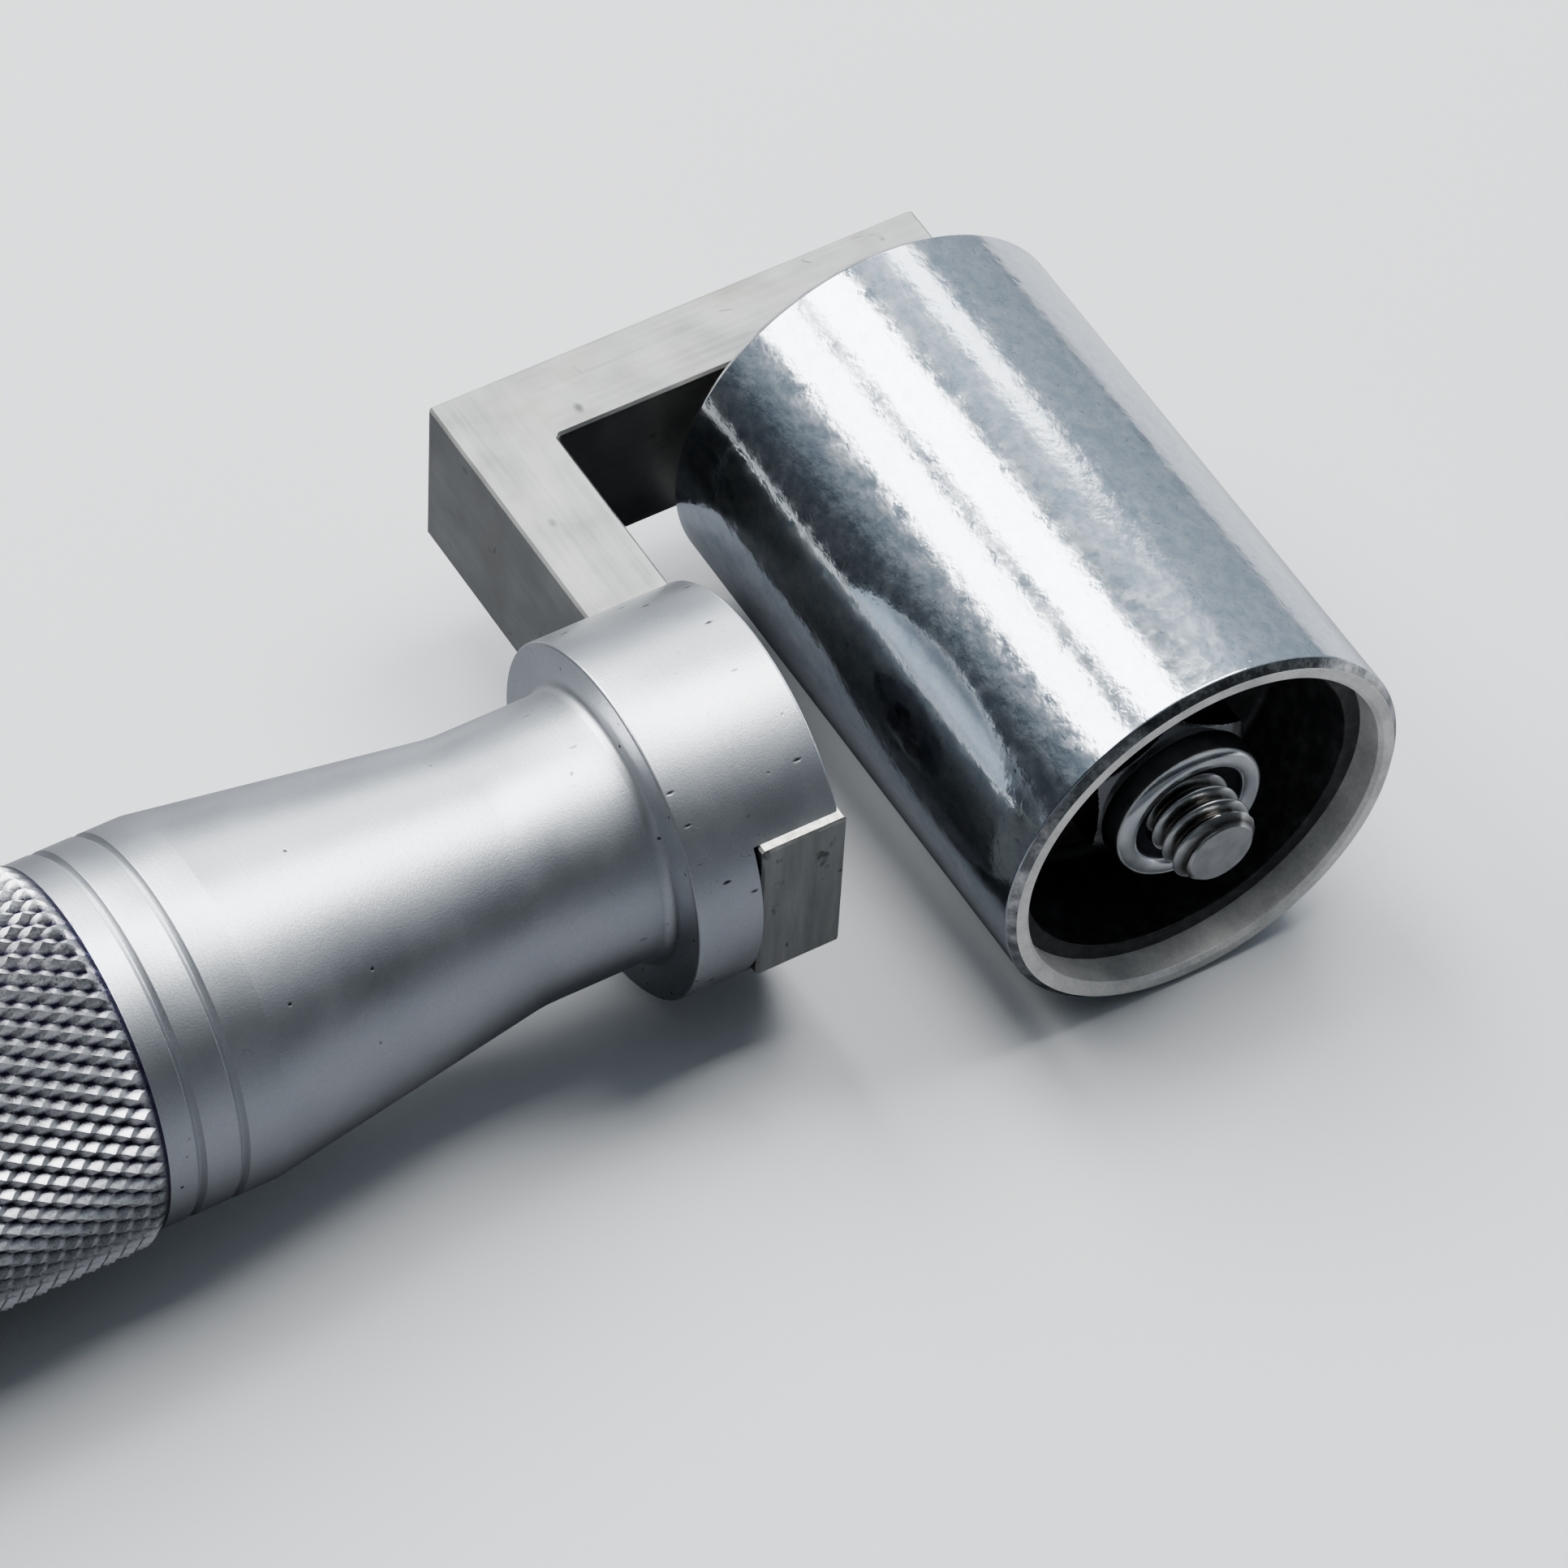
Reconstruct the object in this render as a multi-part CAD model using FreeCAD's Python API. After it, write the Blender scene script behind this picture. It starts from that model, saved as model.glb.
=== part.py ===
import FreeCAD, Part
import os
from math import cos, pi, radians, sin, sqrt, tan

from FreeCAD import Vector

# Hand pressure roller: a knurled turned handle carries an L-shaped bar, and a steel tube
# turns on two sealed ball bearings on an axle that stands out from the bar's arm.
#
# Working frame, in millimetres: X along the handle's axis towards the roller, with x = 0 on
# the collar's front face; Y along the roller's axis towards the arm; Z up. The finished solids
# are moved so that the origin is under the middle of the tool, on the surface it lies on.

# Handle, one turned bar of 1 inch stock
STOCK_R = 12.7
COLLAR_LENGTH = 11.2
NECK_R = 9.5
NECK_FILLET = 0.8
CONE_START = -20.0
BAND_START = -41.3
KNURL_START = -50.0
KNURL_R = 13.45
KNURL_CHAMFER = 1.3
KNURL_LENGTH = 78.0
REAR_LAND_LENGTH = 9.0
REAR_ROUNDING = 2.0
GROOVE_STATIONS = (-44.6, -47.7)
GROOVE_HALF_WIDTH = 0.35
GROOVE_DEPTH = 0.35
EDGE_BREAK = 0.2

# L-shaped bar, 1/4 inch by 1/2 inch section
BAR_THICKNESS = 6.35
BAR_HEIGHT = 12.7
LEG_FRONT = 0.25
LEG_END_Y = -11.8
ARM_BACK_Y = 32.35
ARM_END_X = 31.9

# Countersunk screw that holds the bar in the collar's slot
SCREW_R = 2.4
SCREW_HEAD_R = 4.6
SCREW_TIP_X = -18.0
SCREW_HOLE_TIP_X = -20.5
SCREW_CLEARANCE_R = 2.6
SCREW_HEAD_SINK = 0.2
SCREW_SOCKET_FLATS = 3.18
SCREW_SOCKET_DEPTH = 1.8

# Axle, a 1/4 inch stud
ROLLER_X = 23.1
AXLE_R = 3.175
AXLE_FREE_END_Y = -21.95
THREAD_CHAMFER = 0.5

# Roller tube
ROLLER_R = 15.24
TUBE_WALL = 1.65
NEAR_RIM_Y = -20.15
FAR_RIM_Y = 23.55
RIM_CHAMFER = 0.6
BORE_CHAMFER = 0.3

# Moulded hub pressed into each end of the tube; depths are measured inwards from the rim
HUB_MOUTH_DEPTH = 2.5
HUB_CUP_R = 12.4
HUB_FLOOR_DEPTH = 10.9
HUB_SHOULDER_R = 6.9
HUB_SHOULDER_THICKNESS = 1.0
HUB_CORNER = 0.8

# Sealed ball bearing, 1/4 x 5/8 x 0.196 inch
BEARING_R = 7.9375
BEARING_WIDTH = 4.978
BALL_R = 1.19
BALL_COUNT = 8
BALL_CLEARANCE = 0.04
PITCH_R = 5.5625
INNER_RING_R = 4.5
OUTER_RING_BORE_R = 6.6
RING_BREAK = 0.2
SEAL_SEAT_R = 6.95
SEAL_BORE_R = 4.65
SEAL_INSET = 0.12
SEAL_THICKNESS = 0.4
CAGE_HALF_THICKNESS = 0.3
CAGE_HALF_WIDTH = 1.5
CAGE_POCKET_R = 1.28

# Spacers and lock nut on the axle
SPACER_BORE_R = 3.3
SPACER_TUBE_R = 4.4
ARM_SPACER_R = 4.9
WASHER_THICKNESS = 1.25
NUT_FLATS = 11.3
NUT_HEX_HEIGHT = 5.3
NUT_HEIGHT = 7.9
NUT_COLLAR_R = 5.7
NUT_MOUTH_R = 4.05
NUT_LIP = 0.75
INSERT_R = 4.95
INSERT_THICKNESS = 1.7

# Places that follow from the sizes above
LEG_BACK = LEG_FRONT - BAR_THICKNESS
ARM_FRONT_Y = ARM_BACK_Y - BAR_THICKNESS
KNURL_END = KNURL_START - KNURL_LENGTH
HANDLE_END = KNURL_END - REAR_LAND_LENGTH
TUBE_BORE_R = ROLLER_R - TUBE_WALL
HUB_BACK_DEPTH = HUB_FLOOR_DEPTH + BEARING_WIDTH + HUB_SHOULDER_THICKNESS
NEAR_BEARING_FACE_Y = NEAR_RIM_Y + HUB_FLOOR_DEPTH
FAR_BEARING_FACE_Y = FAR_RIM_Y - HUB_FLOOR_DEPTH
NUT_SEAT_Y = NEAR_BEARING_FACE_Y - WASHER_THICKNESS
NUT_TOP_Y = NUT_SEAT_Y - NUT_HEIGHT
MIDDLE_X = (HANDLE_END + ROLLER_X + ROLLER_R) / 2
MIDDLE_Y = (AXLE_FREE_END_Y + ARM_BACK_Y) / 2
ROW_ORIGIN = Vector(MIDDLE_X, MIDDLE_Y, -ROLLER_R)

# Cutting tools and joined solids run past the surfaces that they meet by this much
OVERRUN = 1.0
HALF_CORNER = 1 - sin(pi / 4)


def on_handle_axis(station, radius):
    """Point of an outline that is turned about the handle's axis."""
    return Vector(station, 0, radius)


def on_roller_axis(station, radius):
    """Point of an outline that is turned about the roller's axis."""
    return Vector(ROLLER_X + radius, station, 0)


def turned(outline, place, axis):
    """Solid of revolution. An outline step is (station, radius), reached by a straight line, or
    (station, radius, mid_station, mid_radius), reached by an arc through the middle point."""
    edges = []
    last = place(*outline[-1][:2])
    for step in outline:
        point = place(*step[:2])
        if len(step) == 4:
            edges.append(Part.Arc(last, place(*step[2:]), point).toShape())
        else:
            edges.append(Part.makeLine(last, point))
        last = point
    centre = place(0, 0)
    return Part.Face(Part.Wire(edges)).revolve(centre, axis, 360)


def turned_on_handle(outline):
    return turned(outline, on_handle_axis, Vector(1, 0, 0))


def turned_on_roller(outline):
    return turned(outline, on_roller_axis, Vector(0, 1, 0))


def ring(y_start, y_end, bore_r, outer_r, edge_break=0.0):
    """Plain ring about the roller's axis, with its outer edges broken."""
    low = min(y_start, y_end)
    high = max(y_start, y_end)
    outline = [(low, bore_r), (high, bore_r)]
    if edge_break:
        outline += [(high, outer_r - edge_break), (high - edge_break, outer_r)]
        outline += [(low + edge_break, outer_r), (low, outer_r - edge_break)]
    else:
        outline += [(high, outer_r), (low, outer_r)]
    return turned_on_roller(outline)


def hexagon_prism(centre, across_flats, axis, height):
    """Hexagonal bar along axis, with a corner pointing up."""
    corner_r = across_flats / sqrt(3)
    side = axis.cross(Vector(0, 0, 1))
    corners = []
    for step in range(7):
        turn = step * pi / 3
        corners.append(centre + side * (corner_r * sin(turn)) + Vector(0, 0, corner_r * cos(turn)))
    return Part.Face(Part.makePolygon(corners)).extrude(axis * height)


def handle_groove(station):
    """V-shaped ring of metal that a decorative groove takes out of the band."""
    outside = STOCK_R + GROOVE_DEPTH
    return turned_on_handle([
        (station - 2 * GROOVE_HALF_WIDTH, outside),
        (station, STOCK_R - GROOVE_DEPTH),
        (station + 2 * GROOVE_HALF_WIDTH, outside),
    ])


def make_handle_body():
    """Collar, neck, cone, grooved band, knurled grip and rear land, with the slot for the bar."""
    corner = NECK_FILLET * HALF_CORNER
    rear_corner = REAR_ROUNDING * HALF_CORNER
    body = turned_on_handle([
        (0, 0),
        (0, STOCK_R - EDGE_BREAK),
        (-EDGE_BREAK, STOCK_R),
        (-COLLAR_LENGTH + EDGE_BREAK, STOCK_R),
        (-COLLAR_LENGTH, STOCK_R - EDGE_BREAK),
        (-COLLAR_LENGTH, NECK_R + NECK_FILLET),
        (-COLLAR_LENGTH - NECK_FILLET, NECK_R, -COLLAR_LENGTH - corner, NECK_R + corner),
        (CONE_START, NECK_R),
        (BAND_START, STOCK_R),
        (KNURL_START, STOCK_R),
        (KNURL_START - KNURL_CHAMFER, KNURL_R),
        (KNURL_END + KNURL_CHAMFER, KNURL_R),
        (KNURL_END, STOCK_R),
        (HANDLE_END + REAR_ROUNDING, STOCK_R),
        (HANDLE_END, STOCK_R - REAR_ROUNDING, HANDLE_END + rear_corner, STOCK_R - rear_corner),
        (HANDLE_END, 0),
    ])
    for station in GROOVE_STATIONS:
        body = body.cut(handle_groove(station))
    slot_reach = STOCK_R + OVERRUN
    slot_corner = Vector(LEG_BACK, -slot_reach, -BAR_HEIGHT / 2)
    slot = Part.makeBox(OVERRUN - LEG_BACK, 2 * slot_reach, BAR_HEIGHT, slot_corner)
    hole_depth = LEG_BACK - SCREW_HOLE_TIP_X
    screw_hole = Part.makeCylinder(SCREW_R, hole_depth, Vector(LEG_BACK, 0, 0), Vector(-1, 0, 0))
    return body.cut(slot).cut(screw_hole)


def make_bracket():
    """Square-cornered L: the leg lies in the collar's slot and the arm carries the axle."""
    corners = [
        (LEG_BACK, LEG_END_Y),
        (LEG_FRONT, LEG_END_Y),
        (LEG_FRONT, ARM_FRONT_Y),
        (ARM_END_X, ARM_FRONT_Y),
        (ARM_END_X, ARM_BACK_Y),
        (LEG_BACK, ARM_BACK_Y),
    ]
    points = [Vector(x, y, -BAR_HEIGHT / 2) for x, y in corners]
    bar = Part.Face(Part.makePolygon(points + points[:1])).extrude(Vector(0, 0, BAR_HEIGHT))
    bar = bar.makeChamfer(EDGE_BREAK, bar.Edges)
    axle_hole = Part.makeCylinder(AXLE_R, BAR_THICKNESS, Vector(ROLLER_X, ARM_FRONT_Y, 0), Vector(0, 1, 0))
    head_seat = LEG_FRONT - SCREW_HEAD_SINK
    screw_hole = turned_on_handle([
        (LEG_BACK, 0),
        (LEG_BACK, SCREW_CLEARANCE_R),
        (head_seat - (SCREW_HEAD_R - SCREW_CLEARANCE_R), SCREW_CLEARANCE_R),
        (head_seat, SCREW_HEAD_R),
        (LEG_FRONT, SCREW_HEAD_R),
        (LEG_FRONT, 0),
    ])
    return bar.cut(axle_hole).cut(screw_hole)


def make_bracket_screw():
    """Countersunk socket screw, head just below the leg's front face."""
    head_top = LEG_FRONT - SCREW_HEAD_SINK
    screw = turned_on_handle([
        (head_top, 0),
        (head_top, SCREW_HEAD_R),
        (head_top - (SCREW_HEAD_R - SCREW_R), SCREW_R),
        (SCREW_TIP_X + THREAD_CHAMFER, SCREW_R),
        (SCREW_TIP_X, SCREW_R - THREAD_CHAMFER),
        (SCREW_TIP_X, 0),
    ])
    mouth = Vector(head_top, 0, 0)
    socket = hexagon_prism(mouth, SCREW_SOCKET_FLATS, Vector(-1, 0, 0), SCREW_SOCKET_DEPTH)
    return screw.cut(socket)


def make_axle():
    """Stud from the back of the arm to its free end beyond the lock nut."""
    return turned_on_roller([
        (AXLE_FREE_END_Y, 0),
        (AXLE_FREE_END_Y, AXLE_R - THREAD_CHAMFER),
        (AXLE_FREE_END_Y + THREAD_CHAMFER, AXLE_R),
        (ARM_BACK_Y - EDGE_BREAK, AXLE_R),
        (ARM_BACK_Y, AXLE_R - EDGE_BREAK),
        (ARM_BACK_Y, 0),
    ])


def make_lock_nut():
    """Hexagon with a rounded collar that is crimped over the locking insert."""
    prism = hexagon_prism(Vector(ROLLER_X, NUT_SEAT_Y, 0), NUT_FLATS, Vector(0, -1, 0), NUT_HEX_HEIGHT)
    corner_r = NUT_FLATS / sqrt(3)
    flat_r = NUT_FLATS / 2 - EDGE_BREAK
    corner_fall = (corner_r - flat_r) * tan(radians(30))
    hex_top = NUT_SEAT_Y - NUT_HEX_HEIGHT
    corner_trim = turned_on_roller([
        (NUT_SEAT_Y, 0),
        (NUT_SEAT_Y, flat_r),
        (NUT_SEAT_Y - corner_fall, corner_r),
        (hex_top + corner_fall, corner_r),
        (hex_top, flat_r),
        (hex_top, 0),
    ])
    lip_corner = NUT_LIP * HALF_CORNER
    crown_mid_r = (NUT_COLLAR_R - NUT_LIP + NUT_MOUTH_R) / 2
    collar = turned_on_roller([
        (hex_top + OVERRUN, AXLE_R),
        (hex_top + OVERRUN, NUT_COLLAR_R - EDGE_BREAK),
        (hex_top, NUT_COLLAR_R - EDGE_BREAK),
        (hex_top - EDGE_BREAK, NUT_COLLAR_R),
        (NUT_TOP_Y + NUT_LIP, NUT_COLLAR_R),
        (NUT_TOP_Y, NUT_COLLAR_R - NUT_LIP, NUT_TOP_Y + lip_corner, NUT_COLLAR_R - lip_corner),
        (NUT_TOP_Y + EDGE_BREAK, NUT_MOUTH_R, NUT_TOP_Y, crown_mid_r),
        (NUT_TOP_Y + NUT_LIP, NUT_MOUTH_R),
        (NUT_TOP_Y + NUT_LIP, INSERT_R),
        (NUT_TOP_Y + NUT_LIP + INSERT_THICKNESS, INSERT_R),
        (NUT_TOP_Y + NUT_LIP + INSERT_THICKNESS, AXLE_R),
    ])
    bore = Part.makeCylinder(AXLE_R, NUT_HEIGHT, Vector(ROLLER_X, NUT_SEAT_Y, 0), Vector(0, -1, 0))
    return prism.common(corner_trim).cut(bore).fuse(collar).removeSplitter()


def make_lock_nut_insert():
    """Nylon ring inside the nut's collar."""
    top = NUT_TOP_Y + NUT_LIP
    return ring(top, top + INSERT_THICKNESS, AXLE_R, INSERT_R)


def make_roller_tube():
    """Plain steel tube with chamfered rims."""
    return turned_on_roller([
        (NEAR_RIM_Y, TUBE_BORE_R + BORE_CHAMFER),
        (NEAR_RIM_Y, ROLLER_R - RIM_CHAMFER),
        (NEAR_RIM_Y + RIM_CHAMFER, ROLLER_R),
        (FAR_RIM_Y - RIM_CHAMFER, ROLLER_R),
        (FAR_RIM_Y, ROLLER_R - RIM_CHAMFER),
        (FAR_RIM_Y, TUBE_BORE_R + BORE_CHAMFER),
        (FAR_RIM_Y - BORE_CHAMFER, TUBE_BORE_R),
        (NEAR_RIM_Y + BORE_CHAMFER, TUBE_BORE_R),
    ])


def make_hub(rim_y, inward):
    """Cup-shaped plastic hub; inward is +1 or -1, the way from the rim to the tube's middle."""
    def at(depth):
        return rim_y + inward * depth

    bearing_bottom = HUB_FLOOR_DEPTH + BEARING_WIDTH
    corner = HUB_CORNER * HALF_CORNER
    return turned_on_roller([
        (at(HUB_MOUTH_DEPTH), HUB_CUP_R),
        (at(HUB_FLOOR_DEPTH - HUB_CORNER), HUB_CUP_R),
        (at(HUB_FLOOR_DEPTH), HUB_CUP_R - HUB_CORNER, at(HUB_FLOOR_DEPTH - corner), HUB_CUP_R - corner),
        (at(HUB_FLOOR_DEPTH), BEARING_R),
        (at(bearing_bottom), BEARING_R),
        (at(bearing_bottom), HUB_SHOULDER_R),
        (at(HUB_BACK_DEPTH), HUB_SHOULDER_R),
        (at(HUB_BACK_DEPTH), TUBE_BORE_R),
        (at(HUB_MOUTH_DEPTH), TUBE_BORE_R),
    ])


def groove_half_width(land_r):
    """Half the axial width of a ball groove where it meets a ring's land."""
    groove_r = BALL_R + BALL_CLEARANCE
    return sqrt(groove_r ** 2 - (PITCH_R - land_r) ** 2)


def make_inner_ring(face_y):
    """Bearing inner ring; face_y is the lower of its two end faces along Y."""
    middle = face_y + BEARING_WIDTH / 2
    far_face = face_y + BEARING_WIDTH
    half = groove_half_width(INNER_RING_R)
    groove_bottom = PITCH_R - BALL_R - BALL_CLEARANCE
    return turned_on_roller([
        (face_y, AXLE_R),
        (face_y, INNER_RING_R - RING_BREAK),
        (face_y + RING_BREAK, INNER_RING_R),
        (middle - half, INNER_RING_R),
        (middle + half, INNER_RING_R, middle, groove_bottom),
        (far_face - RING_BREAK, INNER_RING_R),
        (far_face, INNER_RING_R - RING_BREAK),
        (far_face, AXLE_R),
    ])


def make_outer_ring(face_y):
    """Bearing outer ring, with a seat for a seal at each side of the ball groove."""
    middle = face_y + BEARING_WIDTH / 2
    far_face = face_y + BEARING_WIDTH
    half = groove_half_width(OUTER_RING_BORE_R)
    groove_bottom = PITCH_R + BALL_R + BALL_CLEARANCE
    seat = SEAL_INSET + SEAL_THICKNESS
    return turned_on_roller([
        (face_y, SEAL_SEAT_R),
        (face_y + seat, SEAL_SEAT_R),
        (face_y + seat, OUTER_RING_BORE_R),
        (middle - half, OUTER_RING_BORE_R),
        (middle + half, OUTER_RING_BORE_R, middle, groove_bottom),
        (far_face - seat, OUTER_RING_BORE_R),
        (far_face - seat, SEAL_SEAT_R),
        (far_face, SEAL_SEAT_R),
        (far_face, BEARING_R),
        (face_y, BEARING_R),
    ])


def ball_centres(face_y):
    """Centres of one bearing's balls, evenly spaced on the pitch circle."""
    middle = face_y + BEARING_WIDTH / 2
    centres = []
    for number in range(BALL_COUNT):
        turn = 2 * pi * (number + 0.5) / BALL_COUNT
        centres.append(Vector(ROLLER_X + PITCH_R * cos(turn), middle, PITCH_R * sin(turn)))
    return centres


def make_balls(face_y):
    return Part.makeCompound([Part.makeSphere(BALL_R, centre) for centre in ball_centres(face_y)])


def make_cage(face_y):
    """Thin ring with a pocket around each ball."""
    middle = face_y + BEARING_WIDTH / 2
    low_r = PITCH_R - CAGE_HALF_THICKNESS
    high_r = PITCH_R + CAGE_HALF_THICKNESS
    cage = ring(middle - CAGE_HALF_WIDTH, middle + CAGE_HALF_WIDTH, low_r, high_r)
    for centre in ball_centres(face_y):
        cage = cage.cut(Part.makeSphere(CAGE_POCKET_R, centre))
    return cage


def make_bearing(name, face_y):
    """All the pieces of one sealed bearing, each under its own name."""
    low_seal = face_y + SEAL_INSET
    high_seal = face_y + BEARING_WIDTH - SEAL_INSET
    return {
        name + "_inner_ring": make_inner_ring(face_y),
        name + "_outer_ring": make_outer_ring(face_y),
        name + "_balls": make_balls(face_y),
        name + "_ball_cage": make_cage(face_y),
        name + "_free_side_seal": ring(low_seal, low_seal + SEAL_THICKNESS, SEAL_BORE_R, SEAL_SEAT_R),
        name + "_arm_side_seal": ring(high_seal - SEAL_THICKNESS, high_seal, SEAL_BORE_R, SEAL_SEAT_R),
    }


def make_parts():
    """Every piece of the tool, by name, in the working frame."""
    far_bearing_y = FAR_BEARING_FACE_Y - BEARING_WIDTH
    near_bearing_end = NEAR_BEARING_FACE_Y + BEARING_WIDTH
    parts = {
        "handle_body": make_handle_body(),
        "bracket": make_bracket(),
        "bracket_screw": make_bracket_screw(),
        "axle": make_axle(),
        "arm_spacer": ring(FAR_BEARING_FACE_Y, ARM_FRONT_Y, SPACER_BORE_R, ARM_SPACER_R, EDGE_BREAK),
        "spacer_tube": ring(near_bearing_end, far_bearing_y, SPACER_BORE_R, SPACER_TUBE_R),
        "nut_washer": ring(NUT_SEAT_Y, NEAR_BEARING_FACE_Y, SPACER_BORE_R, ARM_SPACER_R, EDGE_BREAK),
        "lock_nut": make_lock_nut(),
        "lock_nut_insert": make_lock_nut_insert(),
        "roller_tube": make_roller_tube(),
        "near_hub": make_hub(NEAR_RIM_Y, 1),
        "far_hub": make_hub(FAR_RIM_Y, -1),
    }
    parts.update(make_bearing("near_bearing", NEAR_BEARING_FACE_Y))
    parts.update(make_bearing("far_bearing", far_bearing_y))
    return parts


os.makedirs("parts", exist_ok=True)
for node, shape in make_parts().items():
    shape.translated(ROW_ORIGIN.negative()).exportStep("parts/" + node + ".step")
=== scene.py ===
from math import cos, pi, radians, sin, tan

import bmesh
import bpy
import numpy as np
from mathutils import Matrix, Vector


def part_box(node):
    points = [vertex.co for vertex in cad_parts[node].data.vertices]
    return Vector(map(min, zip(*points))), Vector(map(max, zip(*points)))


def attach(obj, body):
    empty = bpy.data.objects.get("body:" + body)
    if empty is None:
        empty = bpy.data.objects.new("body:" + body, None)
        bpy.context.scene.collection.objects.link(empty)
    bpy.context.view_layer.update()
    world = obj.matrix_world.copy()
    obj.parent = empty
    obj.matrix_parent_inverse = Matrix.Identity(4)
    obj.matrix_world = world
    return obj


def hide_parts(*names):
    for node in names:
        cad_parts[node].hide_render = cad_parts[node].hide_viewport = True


# Looks of the hand pressure roller. Outlines are given in millimetres: on the handle, stations run
# along X from the collar's front face; on the roller, stations run along Y from the handle's axis.

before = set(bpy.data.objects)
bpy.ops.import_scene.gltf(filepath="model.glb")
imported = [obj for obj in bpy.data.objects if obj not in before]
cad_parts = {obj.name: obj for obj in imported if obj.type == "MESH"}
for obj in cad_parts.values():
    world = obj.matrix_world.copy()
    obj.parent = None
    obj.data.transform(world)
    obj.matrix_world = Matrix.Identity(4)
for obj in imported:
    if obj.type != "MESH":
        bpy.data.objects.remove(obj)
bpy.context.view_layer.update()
MM = 0.001

# Places read from the CAD parts
HANDLE_LOW, HANDLE_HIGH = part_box("handle_body")
TUBE_LOW, TUBE_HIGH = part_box("roller_tube")
HANDLE_MIDDLE = (HANDLE_LOW + HANDLE_HIGH) / 2
TUBE_MIDDLE = (TUBE_LOW + TUBE_HIGH) / 2
COLLAR_FRONT = Vector((HANDLE_HIGH.x, HANDLE_MIDDLE.y, HANDLE_MIDDLE.z))
ROLLER_CENTRE = Vector((TUBE_MIDDLE.x, HANDLE_MIDDLE.y, TUBE_MIDDLE.z))


def along_handle(node_name):
    """Lowest and highest station of a CAD node along the handle's axis."""
    low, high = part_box(node_name)
    return (low.x - COLLAR_FRONT.x) / MM, (high.x - COLLAR_FRONT.x) / MM


def along_roller(node_name):
    """Lowest and highest station of a CAD node along the roller's axis."""
    low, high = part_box(node_name)
    return (low.y - ROLLER_CENTRE.y) / MM, (high.y - ROLLER_CENTRE.y) / MM


# Handle
HANDLE_END = along_handle("handle_body")[0]
LEG_BACK = along_handle("bracket")[0]
SLOT_GAP = 0.3
SLOT_FLOOR = LEG_BACK - SLOT_GAP
BAR_HALF_HEIGHT = (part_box("bracket")[1].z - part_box("bracket")[0].z) / MM / 2
STOCK_R = 12.7
KNURL_R = (HANDLE_HIGH.y - HANDLE_LOW.y) / MM / 2
COLLAR_LENGTH = 11.2
NECK_R = 9.5
NECK_FILLET = 0.8
CONE_START = -20.0
CONE_BLEND = 12.0
BAND_START = -41.3
BAND_BLEND = 1.0
GROOVE_STATIONS = (-44.6, -47.7)
GROOVE_HALF_WIDTH = 0.35
GROOVE_DEPTH = 0.35
GROOVE_EDGE = 0.1
GROOVE_BOTTOM = 0.06
KNURL_START = -50.0
KNURL_LENGTH = 78.0
KNURL_CHAMFER = 1.3
REAR_ROUNDING = 2.0
WORN_EDGE = 0.22
SCREW_HOLE_R = 2.4
SCREW_HOLE_TIP = -20.5
SCREW_HOLE_SIDES = 48
CUT_TOLERANCE = 1e-7

# Diamond knurl: two sets of 60 helical grooves cross, and leave pyramids with worn tips. One set
# is deeper, and the floor is lowest where two grooves cross.
KNURL_STARTS = 60
KNURL_CELLS_LONG = 32
KNURL_GRID = 6
KNURL_DEPTH = 0.72
KNURL_WORN_HEIGHT = 0.95
KNURL_DEEPER_SHARE = 0.63
KNURL_SHOULDER = 0.15
HANDLE_COLUMNS = KNURL_STARTS * KNURL_GRID

# Roller tube and hubs
NEAR_RIM, FAR_RIM = along_roller("roller_tube")
ROLLER_R = (TUBE_HIGH.z - TUBE_LOW.z) / MM / 2
TUBE_WALL = 1.65
TUBE_BORE_R = ROLLER_R - TUBE_WALL
BORE_CHAMFER = 0.3
BORE_EDGE = 0.1
FACE_INNER_EDGE = 0.08
FACE_OUTER_EDGE = 0.12
RIM_CHAMFER = 0.6
RIM_EDGE = 0.25
CHAMFER_REACH = RIM_CHAMFER * 0.9
HUB_MOUTH_DEPTH = 2.5
HUB_CUP_R = 12.4
HUB_FLOOR_DEPTH = 10.9
HUB_BACK_DEPTH = FAR_RIM - along_roller("far_hub")[0]
HUB_SHOULDER_R = 6.9
HUB_SHOULDER_THICKNESS = 1.0
HUB_CORNER = 0.8
HUB_EDGE = 0.15
BEARING_R = 7.9375
TUBE_COLUMNS = 288
HUB_COLUMNS = 192

# Axle and lock nut
AXLE_END, AXLE_ARM_END = along_roller("axle")
AXLE_R = 3.175
THREAD_PITCH = 1.27
THREAD_DEPTH = 0.69
THREAD_STEPS = 24
THREAD_LENGTH = 12.7
THREAD_RUNOUT = 0.80
THREAD_TIP_R = 0.1
AXLE_BACK_EDGE = 0.2
AXLE_COLUMNS = 96
THREAD_SHARP_ANGLE = radians(40)
NUT_TOP, NUT_SEAT = along_roller("lock_nut")
NUT_FLAT_R = 5.65
NUT_CORNER_R = NUT_FLAT_R / cos(radians(30))
NUT_WORN_CORNER_R = NUT_CORNER_R - 0.1
NUT_WASHER_FACE_R = NUT_FLAT_R - 0.2
NUT_CHAMFER_ANGLE = radians(30)
NUT_CHAMFER_STEPS = 8
NUT_HEX_HEIGHT = 5.3
NUT_HEX_TOP = NUT_SEAT - NUT_HEX_HEIGHT
NUT_COLLAR_R = 5.7
NUT_COLLAR_FOOT = 0.4
NUT_FOOT_ROUNDING = 0.25
NUT_MOUTH_R = 4.05
NUT_MOUTH_ROUNDING = 0.68
NUT_LIP = 0.75
NUT_LIP_ROUNDING = 0.85
INSERT_R = 4.95
INSERT_THICKNESS = 1.7
NUT_COLUMNS = 192

ARC_STEPS = 5
SHARP_ANGLE = radians(28)

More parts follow.
